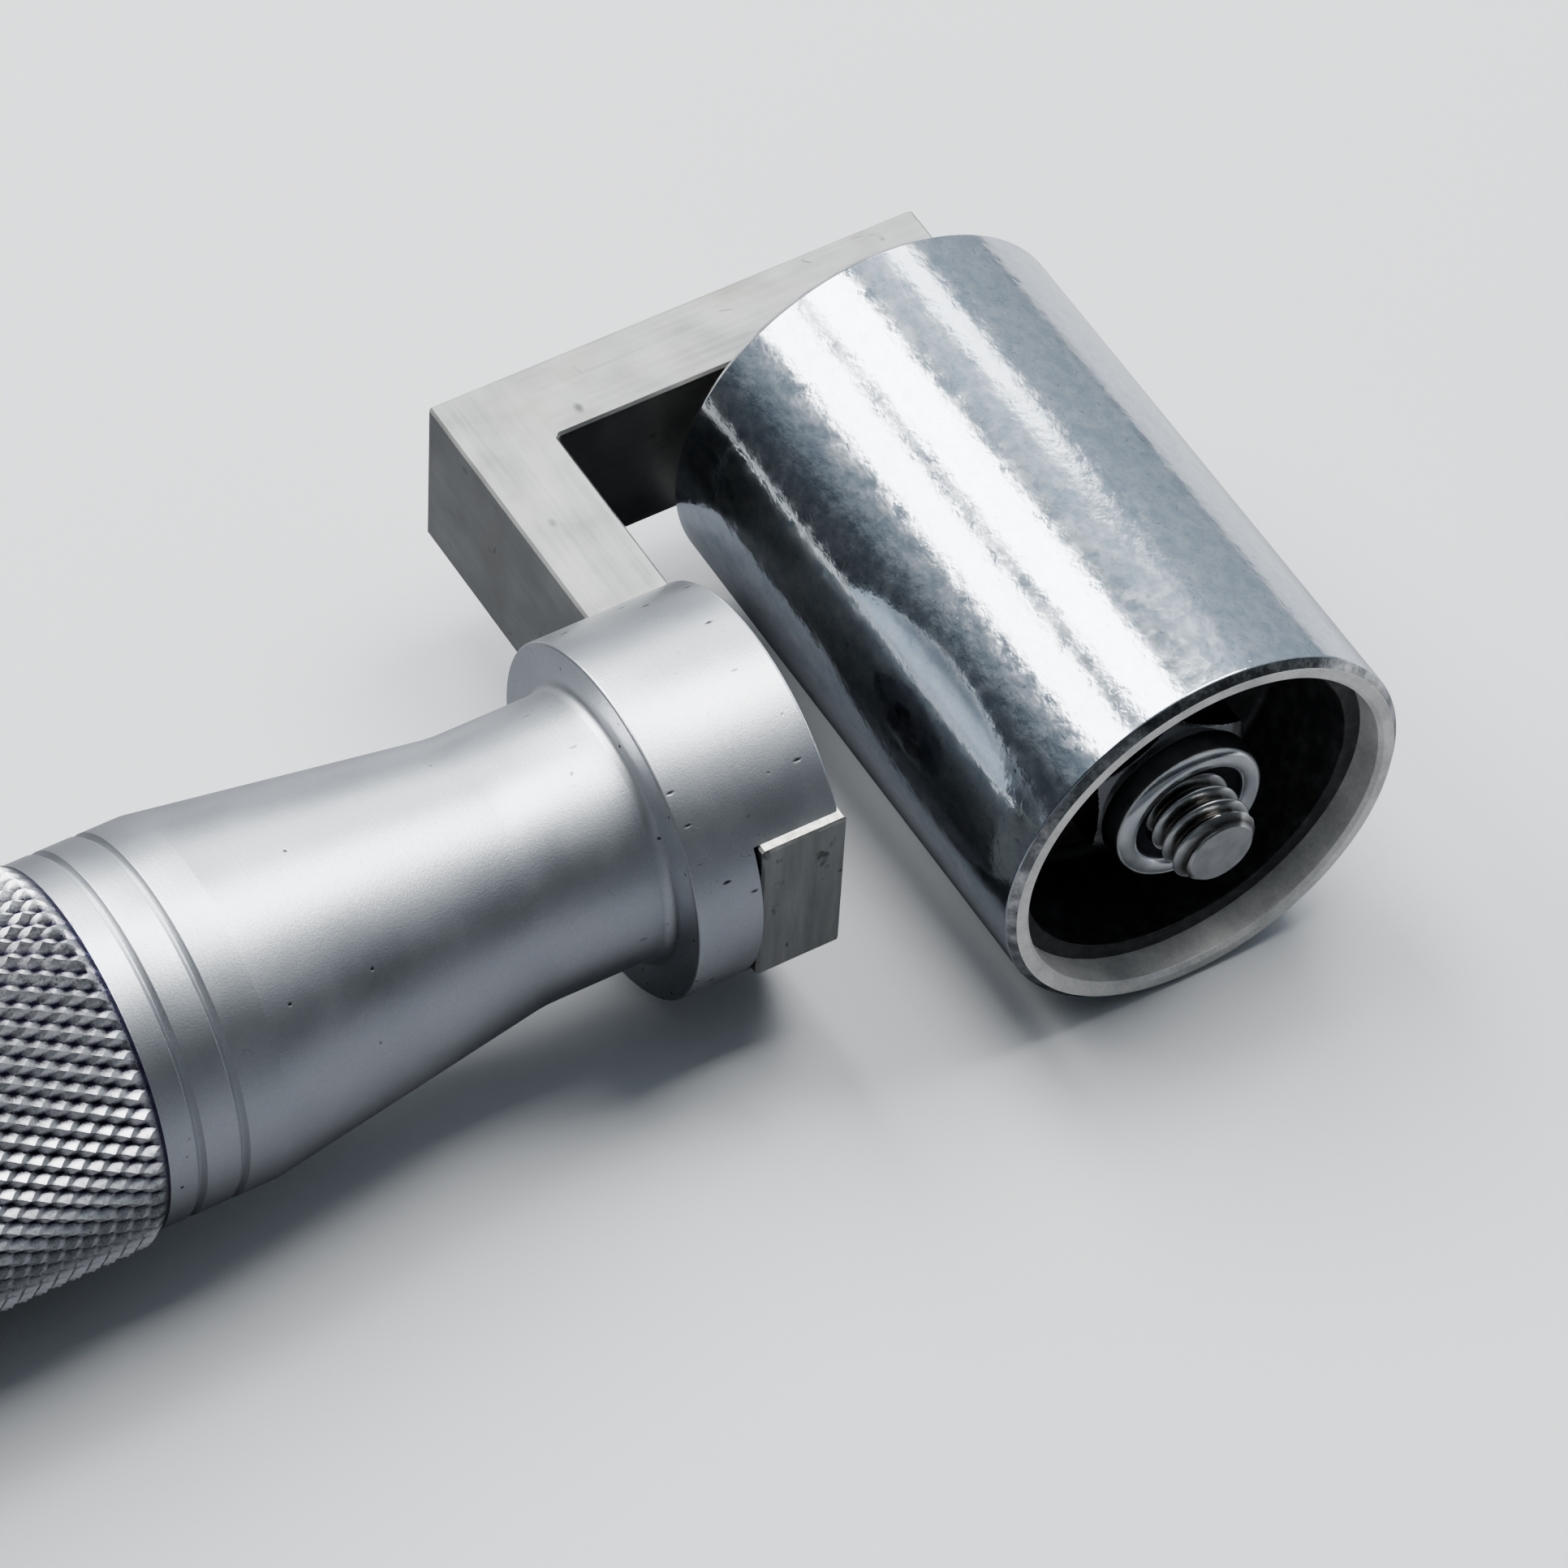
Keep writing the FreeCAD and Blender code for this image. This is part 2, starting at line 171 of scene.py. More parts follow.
# Camera: it stands above the roller's free end, and aims at the front of the collar
CAMERA_AZIMUTH = -33.60
CAMERA_ELEVATION = 50.47
CAMERA_ROLL = 3.60
CAMERA_DISTANCE = 0.58768
CAMERA_LENS = 204.97
CAMERA_SENSOR = 36.0
CAMERA_CLIP_START = 0.01
CAMERA_CLIP_END = 20.0
CAMERA_AIM = COLLAR_FRONT + Vector((0.96, -3.0, 0.0)) * MM

# Light comes from above and from behind the tool, and the camera's side of the studio is dark.
# Each pair in SURROUNDINGS is how close a direction is to the bright side, from 0 for the
# opposite way to 1, and how bright the studio is there.
BRIGHT_SIDE_AZIMUTH = 57.0
BRIGHT_SIDE_ELEVATION = 42.0
SURROUNDINGS = (
    (0.000, 0.09),
    (0.200, 0.13),
    (0.320, 0.13),
    (0.385, 0.03),
    (0.430, 0.02),
    (0.475, 0.05),
    (0.535, 0.05),
    (0.600, 0.08),
    (0.680, 0.30),
    (0.760, 0.42),
    (0.940, 0.50),
    (0.980, 0.55),
    (1.000, 1.15),
)
SKY_TINT = (0.88, 1.0, 1.12)

PALE_BACKDROP = (0.80, 0.81, 0.83, 1.0)
BACKDROP_STRENGTH = 1.7
LIGHT_DISTANCE = 0.60

# Floor: it fades into the backdrop between two distances from the roller, in metres. The metal
# mirrors a painted image of it: dark near the roller and almost black on the camera's left, as
# painted shadow, and lighter beyond it.
FLOOR_HALF_SIDE = 2.5
FLOOR_FADE_START = 0.40
FLOOR_FADE_END = 1.20
FAR_FLOOR_AZIMUTH = 45.0
FAR_FLOOR_START = 10.0
FAR_FLOOR_CHANGE = 40.0
NEAR_FLOOR_MIRRORED = (0.125, 0.13, 0.14)
FAR_FLOOR_MIRRORED = (0.42, 0.43, 0.45)
LEFT_FLOOR_AZIMUTH = 147.0
LEFT_FLOOR_START = 40.0
LEFT_FLOOR_CHANGE = 80.0
LEFT_FLOOR_MIRRORED = (0.03, 0.03, 0.035)


# Mesh building


def arc(centre, start, end):
    """Points from start to end, both measured from centre, along the shorter arc."""
    angle = start.angle(end)
    points = []
    for step in range(ARC_STEPS + 1):
        part = step / ARC_STEPS
        from_start = sin((1 - part) * angle) / sin(angle)
        from_end = sin(part * angle) / sin(angle)
        points.append(centre + start * from_start + end * from_end)
    return points


def rounded(corners):
    """Outline through (station, radius, rounding) corners, with an arc at each rounded one."""
    points = []
    for number, (station, radius, rounding) in enumerate(corners):
        corner = Vector((station, radius))
        if rounding == 0:
            points.append(corner)
            continue
        before = (Vector(corners[number - 1][:2]) - corner).normalized()
        after = (Vector(corners[(number + 1) % len(corners)][:2]) - corner).normalized()
        half_angle = before.angle(after) / 2
        centre = corner + (before + after).normalized() * (rounding / sin(half_angle))
        reach = rounding / tan(half_angle)
        start = corner + before * reach - centre
        end = corner + after * reach - centre
        points += arc(centre, start, end)
    return points


def turned_rings(outline, columns):
    """Rings of equal radius, (station, radii), for the points of an outline."""
    return [(point[0], np.full(columns, point[1])) for point in outline]


def on_handle(station, radii, turns):
    """Points round the handle's axis, in metres."""
    x = np.full(len(turns), COLLAR_FRONT.x + station * MM)
    y = COLLAR_FRONT.y + radii * np.cos(turns) * MM
    z = COLLAR_FRONT.z + radii * np.sin(turns) * MM
    return np.column_stack((x, y, z))


def on_roller(station, radii, turns):
    """Points round the roller's axis, in metres."""
    x = ROLLER_CENTRE.x + radii * np.cos(turns) * MM
    y = np.full(len(turns), ROLLER_CENTRE.y + station * MM)
    z = ROLLER_CENTRE.z + radii * np.sin(turns) * MM
    return np.column_stack((x, y, z))


def plain_band(near, far, column, columns):
    """One quad between two rings, given by the numbers of their first points."""
    after = (column + 1) % columns
    return [(near + column, near + after, far + after, far + column)]


def ring_mesh(name, rings, place, columns, closed_loop, bands=None):
    """Mesh through rings of points. It ends in a point on the axis, or closes on its first ring.
    bands gives the faces of a ring's band where they aren't plain quads, by ring number."""
    turns = np.arange(columns) * 2 * pi / columns
    points = np.concatenate([place(station, radii, turns) for station, radii in rings])
    faces = []
    pairs = len(rings) if closed_loop else len(rings) - 1
    for number in range(pairs):
        near = number * columns
        far = (number + 1) % len(rings) * columns
        band = (bands or {}).get(number, plain_band)
        for column in range(columns):
            faces += band(near, far, column, columns)
    points = points.tolist()
    if not closed_loop:
        for ring, first in ((0, 0), (-1, (len(rings) - 1) * columns)):
            station = rings[ring][0]
            points += place(station, np.zeros(1), np.zeros(1)).tolist()
            tip = len(points) - 1
            for column in range(columns):
                faces.append((tip, first + column, first + (column + 1) % columns))
    mesh = bpy.data.meshes.new(name)
    mesh.from_pydata(points, [], faces)
    return mesh


def finished_piece(name, mesh, body, materials, node_name, sharp_angle=SHARP_ANGLE):
    """Object from a mesh, with outward normals and crisp edges, in place of a CAD node."""
    work = bmesh.new()
    work.from_mesh(mesh)
    bmesh.ops.recalc_face_normals(work, faces=work.faces)
    work.to_mesh(mesh)
    work.free()
    mesh.shade_smooth()
    mesh.set_sharp_from_angle(angle=sharp_angle)
    for material in materials:
        mesh.materials.append(material)
    piece = bpy.data.objects.new(name, mesh)
    bpy.context.scene.collection.objects.link(piece)
    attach(piece, body)
    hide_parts(node_name)
    return piece


def paint_faces(piece, number, axis_point, along, chosen):
    """Gives material slot number to the faces whose (station, radius) passes chosen."""
    for face in piece.data.polygons:
        offset = (face.center - axis_point) / MM
        station = offset[along]
        offset[along] = 0
        if chosen(station, offset.length):
            face.material_index = number


# Handle


def knurl_radii(row, rows):
    """Radius at each column of one row across the knurl, limited by the chamfers at its ends."""
    columns = np.arange(HANDLE_COLUMNS)
    one_way = ((columns + row) % KNURL_GRID) / KNURL_GRID
    other_way = ((columns - row) % KNURL_GRID) / KNURL_GRID
    deeper_ridges = 2 * np.minimum(one_way, 1 - one_way)
    other_ridges = 2 * np.minimum(other_way, 1 - other_way)
    height = KNURL_DEEPER_SHARE * deeper_ridges + (1 - KNURL_DEEPER_SHARE) * other_ridges
    height = np.minimum(height, KNURL_WORN_HEIGHT) / KNURL_WORN_HEIGHT
    surface = KNURL_R - KNURL_DEPTH * (1 - height)
    from_end = min(row, rows - row) * KNURL_LENGTH / rows
    limit = STOCK_R + from_end * (KNURL_R - STOCK_R) / KNURL_CHAMFER
    return np.minimum(surface, limit)


def knurl_band(row):
    """Faces of one band of the knurl, with each diagonal along a ridge or a groove."""
    half = KNURL_GRID // 2

    def band(near, far, column, columns):
        after = (column + 1) % columns
        corners = (near + column, near + after, far + after, far + column)
        if (column + row + 1) % half == 0 or (column - row) % half != 0:
            return [(corners[0], corners[1], corners[3]), (corners[1], corners[2], corners[3])]
        return [(corners[0], corners[1], corners[2]), (corners[0], corners[2], corners[3])]
    return band


def handle_rings():
    """Rings from the collar's front to the rear end, and the special bands of the knurl."""
    front = [(0, STOCK_R, WORN_EDGE), (SLOT_FLOOR, STOCK_R, 0)]
    front += [(-COLLAR_LENGTH, STOCK_R, WORN_EDGE), (-COLLAR_LENGTH, NECK_R, NECK_FILLET)]
    front += [(CONE_START, NECK_R, CONE_BLEND), (BAND_START, STOCK_R, BAND_BLEND)]
    for station in GROOVE_STATIONS:
        front.append((station + GROOVE_HALF_WIDTH, STOCK_R, GROOVE_EDGE))
        front.append((station, STOCK_R - GROOVE_DEPTH, GROOVE_BOTTOM))
        front.append((station - GROOVE_HALF_WIDTH, STOCK_R, GROOVE_EDGE))
    front.append((KNURL_START + KNURL_SHOULDER, STOCK_R, 0))
    front_middle = [(0, 0, 0)]
    knurl_edge = [(KNURL_START, STOCK_R, 0)]
    outline = rounded(front_middle + front + knurl_edge)[1:-1]
    rings = turned_rings(outline, HANDLE_COLUMNS)
    rows = KNURL_CELLS_LONG * KNURL_GRID
    bands = {}
    for row in range(rows + 1):
        if row < rows:
            bands[len(rings)] = knurl_band(row)
        rings.append((KNURL_START - row * KNURL_LENGTH / rows, knurl_radii(row, rows)))
    knurl_end = KNURL_START - KNURL_LENGTH
    rear = [(knurl_end, STOCK_R, 0), (knurl_end - KNURL_SHOULDER, STOCK_R, 0)]
    rear += [(HANDLE_END, STOCK_R, REAR_ROUNDING), (HANDLE_END, 0, 0)]
    rings += turned_rings(rounded(rear)[1:-1], HANDLE_COLUMNS)
    return rings, bands


def cut_slot(mesh):
    """Opens the slot across the collar's front that the bar's leg lies in, with its screw hole.
    The slot is a little deeper than the leg, and shows as a dark line beside it."""
    work = bmesh.new()
    work.from_mesh(mesh)
    floor_x = COLLAR_FRONT.x + SLOT_FLOOR * MM
    half = BAR_HALF_HEIGHT * MM
    middle_x = floor_x - SLOT_FLOOR * MM / 2
    axis_y = COLLAR_FRONT.y
    axis_z = COLLAR_FRONT.z
    for side in (-1, 1):
        near = [face for face in work.faces if face.calc_center_median().x > floor_x]
        geometry = set(near)
        for face in near:
            geometry.update(face.edges)
            geometry.update(face.verts)
        plane = Vector((0, 0, axis_z + side * half))
        bmesh.ops.bisect_plane(
            work, geom=list(geometry), plane_co=plane, plane_no=(0, 0, 1), dist=CUT_TOLERANCE
        )
    inside = []
    for face in work.faces:
        middle = face.calc_center_median()
        if middle.x > floor_x and abs(middle.z - axis_z) < half:
            inside.append(face)
    bmesh.ops.delete(work, geom=inside, context="FACES")
    open_edges = [edge for edge in work.edges if edge.is_boundary]
    rim = {point for edge in open_edges for point in edge.verts}
    for side in (-1, 1):
        level = axis_z + side * half
        wall = [point for point in rim if abs(point.co.z - level) < 2 * CUT_TOLERANCE]
        wall.sort(key=lambda point: np.arctan2(point.co.y - axis_y, point.co.x - middle_x))
        work.faces.new(wall)
    floor_edges = [edge for edge in work.edges if edge.is_boundary]
    add_screw_hole(work, floor_x, floor_edges)
    work.to_mesh(mesh)
    work.free()


def add_screw_hole(work, floor_x, floor_edges):
    """Closes the slot's floor round the mouth of the screw hole, and makes the hole."""
    mouth = []
    bottom = []
    for side in range(SCREW_HOLE_SIDES):
        turn = side * 2 * pi / SCREW_HOLE_SIDES
        y = COLLAR_FRONT.y + SCREW_HOLE_R * MM * cos(turn)
        z = COLLAR_FRONT.z + SCREW_HOLE_R * MM * sin(turn)
        mouth.append(work.verts.new((floor_x, y, z)))
        bottom.append(work.verts.new((COLLAR_FRONT.x + SCREW_HOLE_TIP * MM, y, z)))
    mouth_edges = []
    for side in range(SCREW_HOLE_SIDES):
        after = (side + 1) % SCREW_HOLE_SIDES
        mouth_edges.append(work.edges.new((mouth[side], mouth[after])))
    bmesh.ops.triangle_fill(
        work, edges=floor_edges + mouth_edges, use_beauty=True, normal=(1, 0, 0)
    )
    for side in range(SCREW_HOLE_SIDES):
        after = (side + 1) % SCREW_HOLE_SIDES
        work.faces.new((mouth[side], mouth[after], bottom[after], bottom[side]))
    work.faces.new(bottom)


def make_handle(alloy, knurled_alloy):
    """Whole handle in one piece, with a second finish on the knurl."""
    rings, bands = handle_rings()
    mesh = ring_mesh("knurled_handle", rings, on_handle, HANDLE_COLUMNS, False, bands)
    cut_slot(mesh)
    piece = finished_piece(
        "knurled_handle", mesh, "handle", (alloy, knurled_alloy), "handle_body"
    )
    knurl_end = KNURL_START - KNURL_LENGTH
    paint_faces(
        piece, 1, COLLAR_FRONT, 0,
        lambda station, radius: knurl_end < station < KNURL_START and radius > NECK_R,
    )


# Roller


def on_cut_end(station, radius):
    """True on the tube's end faces and in the mouths of its bore."""
    from_end = min(station - NEAR_RIM, FAR_RIM - station)
    in_mouth = from_end < HUB_MOUTH_DEPTH and radius < ROLLER_R - RIM_CHAMFER
    return in_mouth or from_end < CHAMFER_REACH


def on_chamfer(station, radius):
    """True on the chamfers round the tube's rims."""
    from_end = min(station - NEAR_RIM, FAR_RIM - station)
    return from_end < CHAMFER_REACH and radius > ROLLER_R - CHAMFER_REACH


def make_tube(plated, bare, stained):
    """Steel tube: plated outside, bare at its cut ends, stained on the rims' chamfers."""
    corners = []
    for rim, inward in ((NEAR_RIM, 1), (FAR_RIM, -1)):
        side = [
            (rim + inward * HUB_MOUTH_DEPTH, TUBE_BORE_R, 0),
            (rim + inward * BORE_CHAMFER, TUBE_BORE_R, BORE_EDGE),
            (rim, TUBE_BORE_R + BORE_CHAMFER, FACE_INNER_EDGE),
            (rim, ROLLER_R - RIM_CHAMFER, FACE_OUTER_EDGE),
            (rim + inward * RIM_CHAMFER, ROLLER_R, RIM_EDGE),
        ]
        corners += side if inward > 0 else side[::-1]
    rings = turned_rings(rounded(corners), TUBE_COLUMNS)
    mesh = ring_mesh("steel_tube", rings, on_roller, TUBE_COLUMNS, True)
    piece = finished_piece(
        "steel_tube", mesh, "roller", (plated, bare, stained), "roller_tube"
    )
    paint_faces(piece, 1, ROLLER_CENTRE, 1, on_cut_end)
    paint_faces(piece, 2, ROLLER_CENTRE, 1, on_chamfer)


def make_hub(name, node_name, rim, inward, plastic):
    """Cup-shaped plastic hub; inward is +1 or -1, the way from the rim to the tube's middle."""
    seat_depth = HUB_BACK_DEPTH - HUB_SHOULDER_THICKNESS
    corners = [
        (HUB_MOUTH_DEPTH, HUB_CUP_R, HUB_EDGE),
        (HUB_FLOOR_DEPTH, HUB_CUP_R, HUB_CORNER),
        (HUB_FLOOR_DEPTH, BEARING_R, HUB_EDGE),
        (seat_depth, BEARING_R, 0),
        (seat_depth, HUB_SHOULDER_R, 0),
        (HUB_BACK_DEPTH, HUB_SHOULDER_R, HUB_EDGE),
        (HUB_BACK_DEPTH, TUBE_BORE_R, 0),
        (HUB_MOUTH_DEPTH, TUBE_BORE_R, 0),
    ]
    placed = [(rim + inward * depth, radius, size) for depth, radius, size in corners]
    rings = turned_rings(rounded(placed), HUB_COLUMNS)
    mesh = ring_mesh(name, rings, on_roller, HUB_COLUMNS, True)
    finished_piece(name, mesh, "roller", (plastic,), node_name)


# Axle and nut


def thread_radii(station, columns):
    """Radius round the axle at one station of its thread, limited by the chamfer at its end."""
    turns = np.arange(columns) / columns
    phase = station / THREAD_PITCH - turns
    groove = (1 - np.cos(2 * pi * phase)) / 2
    radii = AXLE_R - THREAD_DEPTH * groove
    tip_limit = AXLE_R - THREAD_RUNOUT + (station - AXLE_END)
    return np.minimum(radii, max(tip_limit, THREAD_TIP_R))


def make_axle(steel):
    """Stud with a thread at its free end and a plain shank up to the arm's back."""
    step = THREAD_PITCH / THREAD_STEPS
    rings = []
    for number in range(int(THREAD_LENGTH / step)):
        station = AXLE_END + number * step
        rings.append((station, thread_radii(station, AXLE_COLUMNS)))
    shank_start = rings[-1][0] + THREAD_PITCH / 2
    shank = rounded([
        (shank_start, 0, 0),
        (shank_start, AXLE_R, 0),
        (AXLE_ARM_END, AXLE_R, AXLE_BACK_EDGE),
        (AXLE_ARM_END, 0, 0),
    ])[1:-1]
    rings += turned_rings(shank, AXLE_COLUMNS)
    mesh = ring_mesh("threaded_axle", rings, on_roller, AXLE_COLUMNS, False)
    finished_piece(
        "threaded_axle", mesh, "handle", (steel,), "axle", THREAD_SHARP_ANGLE
    )


def hexagon_radii(limit):
    """Radius round the nut's hexagon, cut off at limit, with a corner pointing up."""
    turns = np.degrees(np.arange(NUT_COLUMNS) * 2 * pi / NUT_COLUMNS)
    from_flat = np.radians((turns - 30) % 60 - 30)
    hexagon = NUT_FLAT_R / np.cos(from_flat)
    return np.minimum(hexagon, min(limit, NUT_WORN_CORNER_R))


def make_lock_nut(steel):
    """Hexagon with chamfered ends and a rounded collar crimped over its locking insert."""
    rings = turned_rings([(NUT_SEAT, AXLE_R), (NUT_SEAT, NUT_WASHER_FACE_R)], NUT_COLUMNS)
    slope = tan(NUT_CHAMFER_ANGLE)
    fall = (NUT_CORNER_R - NUT_WASHER_FACE_R) * slope
    ends = []
    for number in range(1, NUT_CHAMFER_STEPS + 1):
        depth = fall * number / NUT_CHAMFER_STEPS
        ends.append((depth, hexagon_radii(NUT_WASHER_FACE_R + depth / slope)))
    rings += [(NUT_SEAT - depth, radii) for depth, radii in ends]
    rings += [(NUT_HEX_TOP + depth, radii) for depth, radii in reversed(ends)]
    rings.append((NUT_HEX_TOP, np.full(NUT_COLUMNS, NUT_WASHER_FACE_R)))
    insert_top = NUT_TOP + NUT_LIP
    insert_end = insert_top + INSERT_THICKNESS
    collar = rounded([
        (NUT_HEX_TOP, NUT_WASHER_FACE_R, 0),
        (NUT_HEX_TOP - NUT_COLLAR_FOOT, NUT_COLLAR_R, NUT_FOOT_ROUNDING),
        (NUT_TOP, NUT_COLLAR_R, NUT_LIP_ROUNDING),
        (NUT_TOP, NUT_MOUTH_R, NUT_MOUTH_ROUNDING),
        (insert_top, NUT_MOUTH_R, 0),
        (insert_top, INSERT_R, 0),
        (insert_end, INSERT_R, 0),
        (insert_end, AXLE_R, 0),
    ])[1:]
    rings += turned_rings(collar, NUT_COLUMNS)
    mesh = ring_mesh("crimped_lock_nut", rings, on_roller, NUT_COLUMNS, True)
    finished_piece(
        "crimped_lock_nut", mesh, "handle", (steel,), "lock_nut"
    )


# Materials


def node(tree, kind, inputs=None, **settings):
    """New shader node. An input is a plain value or another node's output."""
    made = tree.nodes.new(kind)
    for name, value in settings.items():
        setattr(made, name, value)
    for name, value in (inputs or {}).items():
        if isinstance(value, bpy.types.NodeSocket):
            tree.links.new(value, made.inputs[name])
        else:
            made.inputs[name].default_value = value
    return made


def own_place(tree):
    """The piece's own coordinates, in metres."""
    return node(tree, "ShaderNodeTexCoord").outputs["Object"]


def own_place_along(tree, axis):
    """One of the piece's own coordinates, in metres: X, Y or Z."""
    return node(tree, "ShaderNodeSeparateXYZ", {"Vector": own_place(tree)}).outputs[axis]


def stretched(tree, scale):
    """The piece's own coordinates, in millimetres, multiplied by scale along X, Y and Z."""
    inputs = {"Vector": own_place(tree), "Scale": [value / MM for value in scale]}
    return node(tree, "ShaderNodeMapping", inputs).outputs["Vector"]


def noise(tree, size, detail=3.0, stretch=(1, 1, 1), roughness=0.5, distortion=0.0):
    """Noise whose features are about size millimetres across, longer where stretch is larger."""
    scale = [1 / (size * value) for value in stretch]
    inputs = {
        "Vector": stretched(tree, scale),
        "Scale": 1.0,
        "Detail": detail,
        "Roughness": roughness,
        "Distortion": distortion,
    }
    return node(tree, "ShaderNodeTexNoise", inputs).outputs[0]


def span(tree, value, from_low, from_high, to_low=0.0, to_high=1.0):
    """Value moved from one range to another, and held inside it."""
    inputs = {
        "Value": value,
        "From Min": from_low,
        "From Max": from_high,
        "To Min": to_low,
        "To Max": to_high,
    }
    return node(tree, "ShaderNodeMapRange", inputs, clamp=True).outputs[0]


def combined(tree, operation, first, second):
    """One value from two, by a math node's operation. Each is a number or a node's output."""
    made = node(tree, "ShaderNodeMath", operation=operation)
    for number, value in enumerate((first, second)):
        if isinstance(value, bpy.types.NodeSocket):
            tree.links.new(value, made.inputs[number])
        else:
            made.inputs[number].default_value = value
    return made.outputs[0]


def blended(tree, factor, first, second):
    """Colour between first and second, each a plain colour or another node's output."""
    made = node(tree, "ShaderNodeMix", data_type="RGBA")
    tree.links.new(factor, made.inputs["Factor"])
    for number, value in ((6, first), (7, second)):
        if isinstance(value, bpy.types.NodeSocket):
            tree.links.new(value, made.inputs[number])
        else:
            made.inputs[number].default_value = (*value, 1.0)
    return made.outputs[2]


def mixed_shader(tree, factor, first, second):
    """Shader node between two others."""
    made = node(tree, "ShaderNodeMixShader", {0: factor})
    tree.links.new(first.outputs[0], made.inputs[1])
    tree.links.new(second.outputs[0], made.inputs[2])
    return made


def bumps(tree, height, distance):
    """Normal of a surface raised by height, with distance millimetres for a height of 1."""
    inputs = {"Height": height, "Distance": distance * MM, "Strength": 1.0}
    return node(tree, "ShaderNodeBump", inputs).outputs["Normal"]


def radius_about(tree, point, across):
    """Distance from the axis through point; across is 1 for the two axes that count."""
    inputs = {0: own_place(tree), 1: point}
    offset = node(tree, "ShaderNodeVectorMath", inputs, operation="SUBTRACT")
    kept = node(
        tree, "ShaderNodeVectorMath", {0: offset.outputs[0], 1: across}, operation="MULTIPLY"
    )
    length = node(tree, "ShaderNodeVectorMath", {0: kept.outputs[0]}, operation="LENGTH")
    return length.outputs["Value"]


def pits(tree, cell, radius, share, stretch=(1, 1, 1)):
    """1 in small round dents: one in each cell of that size, for that share of the cells."""
    scale = [1 / (cell * value) for value in stretch]
    cells = node(tree, "ShaderNodeTexVoronoi", {"Vector": stretched(tree, scale), "Scale": 1.0})
    dent = span(tree, cells.outputs["Distance"], radius / cell, 0.4 * radius / cell)
    chosen = combined(tree, "LESS_THAN", cells.outputs["Color"], share)
    return combined(tree, "MULTIPLY", dent, chosen)


def scratches(tree, size, width, share):
    """1 along thin short curved lines, where noise passes its middle value."""
    lines = noise(tree, size, 1.0, distortion=0.6)
    offset = combined(tree, "ABSOLUTE", combined(tree, "SUBTRACT", lines, 0.5), 0.0)
    thin = span(tree, offset, width, 0.0)
    places = span(tree, noise(tree, size * 0.55, 2.0), 1 - share, 1 - share + 0.04)
    return combined(tree, "MULTIPLY", thin, places)


def new_finish(name, metallic):
    """New material, with its node tree and its shader."""
    material = bpy.data.materials.new(name)
    material.use_nodes = True
    shader = material.node_tree.nodes["Principled BSDF"]
    shader.inputs["Metallic"].default_value = metallic
    return material, material.node_tree, shader


def connect(tree, shader, colour, roughness, normal):
    """Feeds a colour, a roughness and a normal to the shader."""
    tree.links.new(colour, shader.inputs["Base Color"])
    tree.links.new(roughness, shader.inputs["Roughness"])
    tree.links.new(normal, shader.inputs["Normal"])


def blasted_alloy():
    """Satin aluminium: fine even grain, faint turning lines, dark nicks mostly on the collar.
    The collar's front face is darker."""
    material, tree, shader = new_finish("blasted_alloy", 1.0)
    station = own_place_along(tree, "X")
    nicks_start = COLLAR_FRONT.x + (CONE_START + 4.0) * MM
    on_collar = span(tree, station, nicks_start, nicks_start + 4.0 * MM)
    cloud = noise(tree, 6.0, 4.0, roughness=0.55)
    grain = noise(tree, 0.16, 3.0, roughness=0.7)
    lines = noise(tree, 0.25, 2.0, (1, 40, 40))
    dents = pits(tree, 3.0, 0.19, 0.65)
    nicks = pits(tree, 1.5, 0.18, 0.70, (2.2, 1.0, 0.8))
    hits = combined(tree, "MAXIMUM", dents, combined(tree, "MULTIPLY", nicks, on_collar))
    chips = combined(tree, "MULTIPLY", scratches(tree, 1.2, 0.025, 0.36), on_collar)
    faint = combined(tree, "MULTIPLY", scratches(tree, 3.0, 0.012, 0.34), 0.45)
    marks = combined(tree, "MAXIMUM", faint, combined(tree, "MULTIPLY", chips, 0.7))
    light = blended(tree, span(tree, cloud, 0.3, 0.7), (0.64, 0.665, 0.70), (0.72, 0.745, 0.775))
    speckled = blended(tree, span(tree, grain, 0.35, 0.75, 0.0, 0.35), light, (0.42, 0.43, 0.46))
    pitted = blended(tree, hits, speckled, (0.06, 0.06, 0.07))
    marked = blended(tree, marks, pitted, (0.30, 0.31, 0.34))
    front = combined(tree, "GREATER_THAN", station, COLLAR_FRONT.x - 0.05 * MM)
    colour = blended(tree, combined(tree, "MULTIPLY", front, 0.75), marked, (0.07, 0.073, 0.078))
    uneven = combined(tree, "ADD", combined(tree, "MULTIPLY", grain, 0.5), cloud)
    roughness = span(tree, uneven, 0.5, 1.0, 0.31, 0.38)
    height = combined(tree, "ADD", grain, combined(tree, "MULTIPLY", lines, 0.5))
    deep = combined(tree, "SUBTRACT", height, combined(tree, "MULTIPLY", hits, 2.2))
    connect(tree, shader, colour, roughness, bumps(tree, deep, 0.012))
    return material


